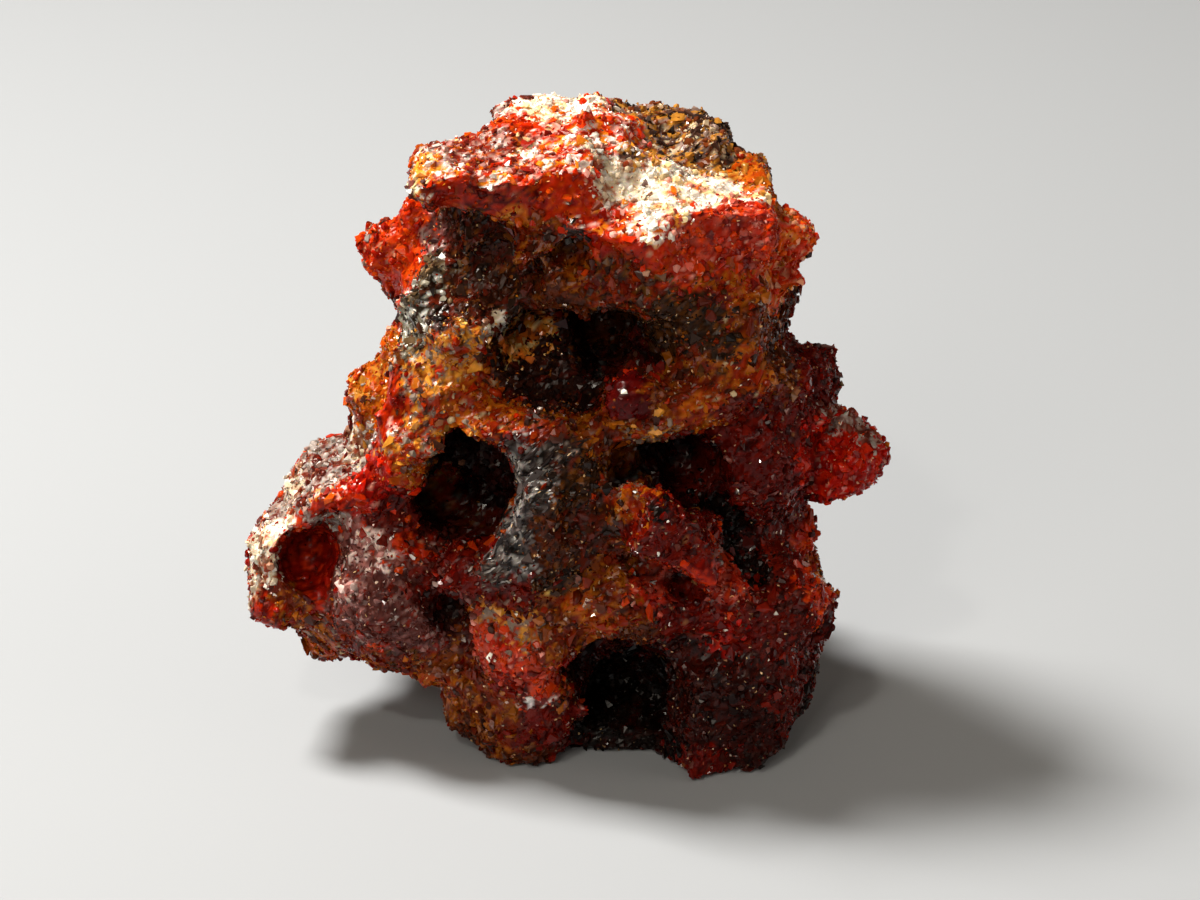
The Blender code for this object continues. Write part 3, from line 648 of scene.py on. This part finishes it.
def openness(corners, faces, tree):
    """How open to the room each corner of the solid is, from 0 deep in a hollow to 1."""
    rng = np.random.default_rng(SEED)
    ways = [Vector(w) for w in unit(rng.normal(size=(RAYS, 3)))]
    values = np.zeros(len(corners))
    for n, (corner, normal) in enumerate(zip(corners, corner_normals(corners, faces))):
        start = corner + normal * RAY_GAP
        facing = [w if w.dot(normal) > 0 else -w for w in ways]
        values[n] = sum(tree.ray_cast(start, w, RAY_REACH)[0] is None for w in facing) / RAYS
    return values


def read_at(tree, faces, values, points):
    """The value of the solid's nearest triangle at each point."""
    means = values[np.array(faces)].mean(axis=1)
    return np.array([means[tree.find_nearest(Vector(p))[2]] for p in points])


def new_object(name, points, faces, material):
    """An object with those points, in millimetres, and faces."""
    mesh = bpy.data.meshes.new(name)
    mesh.from_pydata((np.asarray(points) * MM).tolist(), [], faces)
    mesh.materials.append(material)
    thing = bpy.data.objects.new(name, mesh)
    bpy.context.scene.collection.objects.link(thing)
    return thing


def paint(thing, colours):
    """Gives each vertex its colour."""
    layer = thing.data.color_attributes.new("Tint", "FLOAT_COLOR", "POINT")
    flat = np.ones((len(colours), 4), np.float32)
    flat[:, :3] = colours
    layer.data.foreach_set("color", flat.ravel())


def belongs(thing):
    """Sets the piece on the cluster's one body."""
    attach(thing, "root")


def warped(points):
    """The points moved about a little, so that the edges of zones wander."""
    moved = []
    for point in map(Vector, points):
        place = point.copy()
        for scale, reach in WANDER:
            place += noise.noise_vector(point * scale) * reach
        moved.append(place)
    return np.array(moved)


def zone_elsewhere(point, normal):
    """The zone at a point that no patch holds."""
    choices = TOP_ELSEWHERE if normal[2] > TOP_OVER else ELSEWHERE
    place = Vector(point)
    level = 0.5 + SLOW * noise.noise(place * SLOW_SCALE + Vector(SLOW_SHIFT))
    level += QUICK * noise.noise(place * QUICK_SCALE)
    return choices[min(max(int(level * len(choices)), 0), len(choices) - 1)]


def zones_at(points, normals):
    """Index of the zone at each point, and how surely a patch covers it, from 0 to 1."""
    labels, zones, centres, reaches = zip(*PATCHES)
    away = np.linalg.norm(warped(points)[:, None, :] - np.array(centres), axis=2)
    far = away / (np.array(reaches) + PATCH_MARGIN)
    zone = np.array([ZONE_NAMES.index(name) for name in zones])[far.argmin(axis=1)]
    far = far.min(axis=1)
    for n in np.flatnonzero(far > PATCH_HOLDS):
        zone[n] = ZONE_NAMES.index(zone_elsewhere(points[n], normals[n]))
    height = normals[:, 2]
    for turned, facing in ((FACING_UP, height > UP_OVER), (STEEP, height < STEEP_UNDER)):
        for old, new in turned.items():
            zone[facing & (zone == ZONE_NAMES.index(old))] = ZONE_NAMES.index(new)
    return zone, np.clip(PATCH_COVERS - far, 0, 1)


def grain_table():
    """For each zone, its grains' shares, families and linear colours."""
    table = []
    for zone, grains in ZONES.items():
        shares, families, colours = zip(*grains)
        light = np.array([linear(colour) for colour in colours]) * TONES.get(zone, 1.0)
        light /= np.maximum(light.max(axis=1, keepdims=True), 1.0)
        table.append((np.array(shares) / sum(shares), families, light))
    return table


def picked(points, zone, table, chance):
    """Which of its zone's grains grows at each point: markings drawn by noise, with a little chance."""
    pick = np.zeros(len(points), int)
    for n, point in enumerate(points):
        spot = Vector(point) * Vector(STREAKS.get(ZONE_NAMES[zone[n]], (1, 1, 1)))
        level = 0.5
        for scale, strength in MARKINGS:
            level += strength * noise.noise(spot * scale)
        level += chance[n]
        steps = np.cumsum(table[zone[n]][0])
        pick[n] = min(int(np.searchsorted(steps, level % 1.0)), len(steps) - 1)
    return pick


def painted_shade(values, cover):
    """Painted shade: how much of its colour the surface keeps; hollows go nearly black, but less so
    under a patch.
    """
    opened = np.clip((values - KEPT_FROM) / KEPT_SPAN, 0, 1) ** KEPT_CURVE
    kept = KEPT_LEAST + (1 - KEPT_LEAST) * opened
    return kept + (1 - kept) * PATCH_KEEPS * cover


def without_islands(mesh):
    """Deletes all but the largest connected part of the mesh."""
    shape = bmesh.new()
    shape.from_mesh(mesh)
    seen, parts = set(), []
    for start in shape.verts:
        if start in seen:
            continue
        part, rim = {start}, {start}
        while rim:
            rim = {edge.other_vert(vert) for vert in rim for edge in vert.link_edges} - part
            part |= rim
        seen |= part
        parts.append(part)
    largest = max(parts, key=len)
    stray = [v for v in shape.verts if v not in largest]
    bmesh.ops.delete(shape, geom=stray, context="VERTS")
    shape.to_mesh(mesh)
    shape.free()


def facet(point, scale):
    """Height of a tilted facet over a point, about -0.5 to 0.5: each cell of space has its own tilt."""
    centre = noise.voronoi(point * scale)[1][0]
    return (point * scale - centre).dot(noise.noise_vector(centre * FACET_SPREAD) * FACET_TILT)


def relief(point):
    """How deep the core lies at a point, from 0 to 1: facets, large and small, and a little grit."""
    depth = 0.5
    for scale, strength in FACET_LAYERS:
        depth += strength * facet(point, scale)
    depth += GRIT * noise.noise(point * GRIT_SCALE)
    return min(max(depth, 0.0), 1.0)


def core(corners, faces, material):
    """The crust under the crystals: a fine copy of the solid, drawn in and roughened."""
    rough = new_object("rough core", corners, faces, material)
    remesh = rough.modifiers.new("Even", "REMESH")
    remesh.mode = "VOXEL"
    remesh.voxel_size = SKIN_VOXEL * MM
    remesh.adaptivity = 0
    depsgraph = bpy.context.evaluated_depsgraph_get()
    fine = bpy.data.meshes.new_from_object(rough.evaluated_get(depsgraph))
    bpy.data.objects.remove(rough)
    without_islands(fine)
    skin = bpy.data.objects.new("core", fine)
    bpy.context.scene.collection.objects.link(skin)
    points = np.array([v.co / MM for v in fine.vertices])
    normals = np.array([v.normal for v in fine.vertices])
    drop = np.array([relief(Vector(p)) for p in points])
    points -= normals * (SKIN_INSET + SKIN_RELIEF * drop)[:, None]
    points[:, 2] = np.maximum(points[:, 2], 0)
    fine.vertices.foreach_set("co", (points * MM).ravel())
    fine.update()
    return skin, points, normals


def hull(rng, count, squeeze):
    """A crystal grain: the hull of a few points on a squeezed ball, about one unit across."""
    shape = bmesh.new()
    for place in unit(rng.normal(size=(count, 3))):
        shape.verts.new(Vector(place) * 0.5)
    bmesh.ops.convex_hull(shape, input=shape.verts)
    bmesh.ops.triangulate(shape, faces=shape.faces)
    loose = [v for v in shape.verts if not v.link_faces]
    bmesh.ops.delete(shape, geom=loose, context="VERTS")
    points = np.array([v.co for v in shape.verts]) * squeeze
    shape.verts.index_update()
    faces = np.array([[v.index for v in f.verts] for f in shape.faces])
    shape.free()
    return points, faces


def stub(rng):
    """A short six-sided crystal with a blunt pyramid on top."""
    turns = np.arange(STUB_SIDES) * math.tau / STUB_SIDES
    ring = np.stack([np.cos(turns), np.sin(turns), np.zeros(STUB_SIDES)], axis=1) * STUB_RADIUS
    top = ring * rng.uniform(*STUB_RIM_WIDTH)
    levels = [ring + (0, 0, STUB_FOOT), ring + (0, 0, STUB_SHOULDER), top + (0, 0, STUB_RIM)]
    points = np.concatenate([*levels, [(0, 0, STUB_TIP)]])
    rim, tip = 2 * STUB_SIDES, 3 * STUB_SIDES
    faces = []
    for n in range(STUB_SIDES):
        m = (n + 1) % STUB_SIDES
        for low in (0, STUB_SIDES):
            high = low + STUB_SIDES
            faces += [(low + n, low + m, high + m), (low + n, high + m, high + n)]
        faces.append((rim + n, rim + m, tip))
    return points, np.array(faces)


def shapes(rng):
    """The kinds of grain, several of each: hulls of so many points, squeezed by so much, and stubs."""
    return {
        "grain": [hull(rng, 6, (1, 1, 0.8)) for n in range(28)],
        "lump": [hull(rng, 11, (1, 1, 0.8)) for n in range(20)],
        "flake": [hull(rng, 8, (1.25, 1.0, 0.32)) for n in range(14)],
        "blade": [hull(rng, 7, (1.7, 0.5, 0.45)) for n in range(14)],
        "stub": [stub(rng) for n in range(8)],
        "block": [hull(rng, 9, (1.1, 0.9, 0.6)) for n in range(20)],
    }


def kind_of(zone_name, size, dice):
    """Which kind of grain grows there."""
    if zone_name in BLADED:
        return "blade"
    if zone_name in FLAKY and dice < FLAKES:
        return "flake"
    if size > BLOCK_OVER:
        return "block"
    if size > LUMP_OVER:
        return "stub" if dice > 1 - STUBS else "lump"
    return "grain"


def turns_for(rng, normals, tilt, combed_way=None):
    """Rotation of each grain: its Z near the surface's direction, its X anyhow or along combed_way."""
    count = len(normals)
    up = unit(normals + rng.normal(size=(count, 3)) * tilt)
    side = rng.normal(size=(count, 3))
    if combed_way is not None:
        side = np.array(combed_way) + side * COMBED_STRAY
    side = unit(side - (side * up).sum(axis=1)[:, None] * up)
    return np.stack([side, np.cross(up, side), up], axis=2)


def scattered(rng, surface):
    """Places, directions, sizes and faces of the crystals of all layers."""
    a, b, c = (surface.points[surface.triangles[:, k]] for k in range(3))
    areas = np.linalg.norm(np.cross(b - a, c - a), axis=1)
    density = np.array([GLASSY.get(n, 1.0) for n in ZONE_NAMES])[surface.face_zone[surface.owners]]
    opened = (surface.face_value[surface.owners] - THIN_FROM) / THIN_SPAN
    odds = areas * (density * np.clip(opened, THINNEST, 1))
    odds /= odds.sum()
    found = []
    for count, small, large in LAYERS:
        picks = rng.choice(len(surface.triangles), size=count, p=odds)
        u, v = rng.random((2, count))
        over = u + v > 1
        u[over], v[over] = 1 - u[over], 1 - v[over]
        place = a[picks] + (b[picks] - a[picks]) * u[:, None] + (c[picks] - a[picks]) * v[:, None]
        way = surface.normals[surface.triangles[picks]].mean(axis=1)
        size = small * (large / small) ** rng.random(count)
        found.append((place, way, size, surface.owners[picks]))
    return found


def placed_glint_facets(surface):
    """Places, directions, sizes and faces of the facets painted white as glints, each on the nearest
    triangle.
    """
    labels, places, sizes = zip(*PAINTED_GLINT_FACETS)
    middles = surface.points[surface.triangles].sum(axis=1) / 3
    spots = [int(np.linalg.norm(middles - place, axis=1).argmin()) for place in places]
    ways = surface.normals[surface.triangles[spots]].mean(axis=1)
    return middles[spots], ways, np.array(sizes), surface.owners[spots]


def dressed(family, tint, size, kept, opened, glint_dice, finish_dice):
    """A grain's family, colour and size: frost stays small, grains deep in painted shade are dull, and
    some are painted glints.
    """
    if family == "frost":
        size = min(size, FROST_SIZE)
    # Grains deep in painted shade go to the dull, nearly black family.
    if kept < HOLLOW:
        family = "hollow"
    # Some small open grains become glints: glossy, with a painted highlight colour.
    elif glint_dice < GLINTS and size < GLINT_UNDER and opened > GLINT_OPENNESS:
        family, size = "glint", GLINT_SIZE
        tint = tint + (linear(PAINTED_GLINT_COLOUR) - tint) * GLINT_TONE * finish_dice ** 2
    return family, tint, size


def druse(surface):
    """All the crystals, as a list of grains for each family and side."""
    layers = scattered(np.random.default_rng(SEED + 1), surface)
    layers.append(placed_glint_facets(surface))
    place, way, size, face = (np.concatenate(part) for part in zip(*layers))
    count = len(place)
    rng = np.random.default_rng(SEED + 2)
    table = grain_table()
    kinds = shapes(rng)
    zone, cover = zones_at(place + rng.normal(size=place.shape) * ZONE_BLUR, way)
    loose = turns_for(rng, way, LOOSE_TILT)
    combed = turns_for(rng, way, COMBED_TILT, COMBED_WAY)
    marking_dice, kind_dice, shape_dice, lift_dice, finish_dice, glint_dice = rng.random((count, 6)).T
    pick = picked(place, zone, table, MARKING_CHANCE * (marking_dice - 0.5))
    stretch = rng.uniform(*STRETCH, size=(count, 3))
    opened = surface.face_value[face]
    # Painted shade: grains in hollows keep less of their colour.
    kept = painted_shade(opened, cover)
    # The painted glint facets are white and get no painted shade.
    facets = slice(-len(PAINTED_GLINT_FACETS), None)
    zone[facets] = ZONE_NAMES.index("glare")
    pick[facets] = 0
    kept[facets] = 1
    # Each grain's colour is a random tone times the painted shade.
    light = np.exp(rng.normal(size=count) * LIGHT_SPREAD) * kept
    found = {}
    for n in range(count):
        family, tint = (column[pick[n]] for column in table[zone[n]][1:])
        dice = glint_dice[n], finish_dice[n]
        family, tint, size[n] = dressed(family, tint, size[n], kept[n], opened[n], *dice)
        kind = kind_of(ZONE_NAMES[zone[n]], size[n], kind_dice[n])
        shape, faces = kinds[kind][int(shape_dice[n] * len(kinds[kind]))]
        turn = combed[n] if kind == "blade" else loose[n]
        lift = size[n] * (LIFT[0] + (LIFT[1] - LIFT[0]) * lift_dice[n])
        corners = (shape * stretch[n] * size[n]) @ turn.T + place[n] + way[n] * lift
        side = "left" if place[n][0] < MIDDLE else "right"
        grain = Grain(corners, faces, tint * light[n], finish_dice[n] < WORN)
        found.setdefault((family, side), []).append(grain)
    return found


def joined(grains):
    """The grains as one mesh: its points, faces, the points' colours, and which faces are smooth."""
    corner_counts = [len(g.corners) for g in grains]
    starts = np.cumsum([0] + corner_counts[:-1])
    points = np.concatenate([g.corners for g in grains])
    faces = np.concatenate([g.faces + start for g, start in zip(grains, starts)])
    colours = np.repeat([g.colour for g in grains], corner_counts, axis=0)
    smooth = np.repeat([g.worn for g in grains], [len(g.faces) for g in grains])
    return points, faces, colours, smooth


def kept_inside(points, tree):
    """The points, with any outside the solid drawn back to its surface."""
    kept = points.copy()
    for n, point in enumerate(points):
        near, normal = tree.find_nearest(Vector(point))[:2]
        if (Vector(point) - near).dot(normal) > PROUD:
            kept[n] = near + normal * PROUD
    kept[:, 2] = np.maximum(kept[:, 2], 0)
    return kept


def clouded(tree, cloud, low, high):
    """A level that follows the clouds, from low to high."""
    level = tree.nodes.new("ShaderNodeMapRange")
    level.inputs["From Min"].default_value = CLOUD_RANGE[0]
    level.inputs["From Max"].default_value = CLOUD_RANGE[1]
    level.inputs["To Min"].default_value = low
    level.inputs["To Max"].default_value = high
    tree.links.new(cloud.outputs["Fac"], level.inputs["Value"])
    return level.outputs["Result"]


def tinted(name, rough, rough_spread, speckle, transmission=0.0, ior=1.5, shine=0.4, glow=0.0):
    """A crystal material: the grains' own colours, clouded a little, with uneven polish."""
    material = bpy.data.materials.new(name)
    material.use_nodes = True
    tree = material.node_tree
    shader = tree.nodes["Principled BSDF"]
    shader.inputs["Transmission Weight"].default_value = transmission
    shader.inputs["IOR"].default_value = ior
    shader.inputs["Specular IOR Level"].default_value = shine
    shader.inputs["Subsurface Weight"].default_value = glow
    shader.inputs["Subsurface Radius"].default_value = GLOW_RADIUS
    shader.inputs["Subsurface Scale"].default_value = GLOW_SCALE
    tint = tree.nodes.new("ShaderNodeVertexColor")
    tint.layer_name = "Tint"
    place = tree.nodes.new("ShaderNodeTexCoord")
    cloud = tree.nodes.new("ShaderNodeTexNoise")
    cloud.inputs["Scale"].default_value = CLOUD_SCALE
    cloud.inputs["Detail"].default_value = CLOUD_DETAIL
    tree.links.new(place.outputs["Object"], cloud.inputs["Vector"])
    mix = tree.nodes.new("ShaderNodeVectorMath")
    mix.operation = "SCALE"
    tree.links.new(tint.outputs["Color"], mix.inputs[0])
    tree.links.new(clouded(tree, cloud, 1 - speckle, 1 + speckle), mix.inputs["Scale"])
    tree.links.new(mix.outputs["Vector"], shader.inputs["Base Color"])
    tree.links.new(clouded(tree, cloud, rough, rough + rough_spread), shader.inputs["Roughness"])
    return material


def druse_looks():
    """The material of each family of grains."""
    red = {"speckle": 0.2, "transmission": 0.15, "shine": 0.15, "glow": 0.45}
    return {
        "crimson": tinted("crimson zincite", 0.06, 0.14, **red),
        "orange": tinted("orange zincite", 0.06, 0.16, **red),
        "dark": tinted("dark ore", 0.1, 0.2, 0.3, shine=0.2),
        "frost": tinted("frosted crystal", 0.2, 0.3, 0.12, transmission=0.15),
        "gold": tinted("amber flakes", 0.06, 0.14, 0.25, transmission=0.2, ior=1.55),
        # Grains deep in painted shade: dull and rough.
        "hollow": tinted("dull grains in painted shade", 0.5, 0.3, 0.3, shine=0.1),
        # Glints: very glossy, and painted pale as highlights.
        "glint": tinted("glint", 0.03, 0.05, 0.1, ior=1.6, shine=1.0),
    }


def build_core(corners, faces, tree):
    """The core with its colours and painted shade, and the surface that the crystals grow on."""
    crust = tinted("crust", 0.1, 0.24, 0.3, shine=0.12, glow=0.35)
    skin, points, normals = core(corners, faces, crust)
    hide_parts("zincite_cluster")
    belongs(skin)
    zone, cover = zones_at(points, normals)
    value = read_at(tree, faces, openness(corners, faces, tree), points)
    table = grain_table()
    pick = picked(points, zone, table, np.zeros(len(points)))
    tints = np.array([table[z][2][k] for z, k in zip(zone, pick)])
    # The core's colours, darkened in hollows by painted shade.
    paint(skin, tints * (CORE_TONE * painted_shade(value, cover))[:, None])
    first = np.array([p.vertices[0] for p in skin.data.polygons])
    glassy = [ZONE_NAMES.index(name) for name in GLASSY]
    skin.data.polygons.foreach_set("use_smooth", np.isin(zone[first], glassy))
    skin.data.calc_loop_triangles()
    triangles = np.array([t.vertices[:] for t in skin.data.loop_triangles])
    owners = np.array([t.polygon_index for t in skin.data.loop_triangles])
    return Surface(points, normals, triangles, owners, zone[first], value[first])


def build_druse(surface, tree):
    """The crystals on the core, one piece for each family and side."""
    looks = druse_looks()
    for (family, side), grains in druse(surface).items():
        points, faces, colours, smooth = joined(grains)
        name = f"druse_{family}_{side}"
        piece = new_object(name, kept_inside(points, tree), faces.tolist(), looks[family])
        piece.data.polygons.foreach_set("use_smooth", smooth)
        paint(piece, colours)
        belongs(piece)


def build_cluster():
    """The core and the druse over it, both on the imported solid."""
    noise.seed_set(SEED)
    corners, faces, tree = solid()
    surface = build_core(corners, faces, tree)
    build_druse(surface, tree)


def lamp(name, place, size, power, colour):
    """A square soft lamp, turned to the point that all of them light."""
    light = bpy.data.lights.new(name, "AREA")
    light.shape = "SQUARE"
    light.size = size
    light.energy = power
    light.color = colour
    holder = bpy.data.objects.new(name, light)
    holder.location = place
    holder.rotation_euler = (Vector(LIT_POINT) - Vector(place)).to_track_quat("-Z", "Y").to_euler()
    bpy.context.scene.collection.objects.link(holder)


def studio():
    """A plain pale floor under soft light."""
    material = bpy.data.materials.new("pale floor")
    material.use_nodes = True
    shader = material.node_tree.nodes["Principled BSDF"]
    shader.inputs["Base Color"].default_value = FLOOR_COLOUR
    shader.inputs["Roughness"].default_value = FLOOR_ROUGHNESS
    bpy.ops.mesh.primitive_plane_add(size=FLOOR_SIZE)
    floor = bpy.context.object
    floor.name = "floor"
    floor.data.materials.append(material)
    for settings in LAMPS:
        lamp(*settings)
    world = bpy.data.worlds.new("room")
    world.use_nodes = True
    background = world.node_tree.nodes["Background"]
    background.inputs["Color"].default_value = ROOM_COLOUR
    background.inputs["Strength"].default_value = ROOM_STRENGTH
    bpy.context.scene.world = world
    bpy.context.scene.view_settings.view_transform = "Standard"


def camera():
    """The camera, a little above the cluster and square to its front."""
    height = math.radians(CAMERA_HEIGHT)
    lens = bpy.data.cameras.new("camera")
    lens.sensor_width = CAMERA_SENSOR_MM
    lens.lens = CAMERA_LENS_MM
    lens.clip_start = CAMERA_CLIP
    eye = bpy.data.objects.new("camera", lens)
    back = Vector((0, -math.cos(height), math.sin(height)))
    eye.location = Vector(CAMERA_TARGET) + back * CAMERA_DISTANCE
    eye.rotation_euler = (math.pi / 2 - height, 0, 0)
    bpy.context.scene.collection.objects.link(eye)
    bpy.context.scene.camera = eye


build_cluster()
studio()
camera()
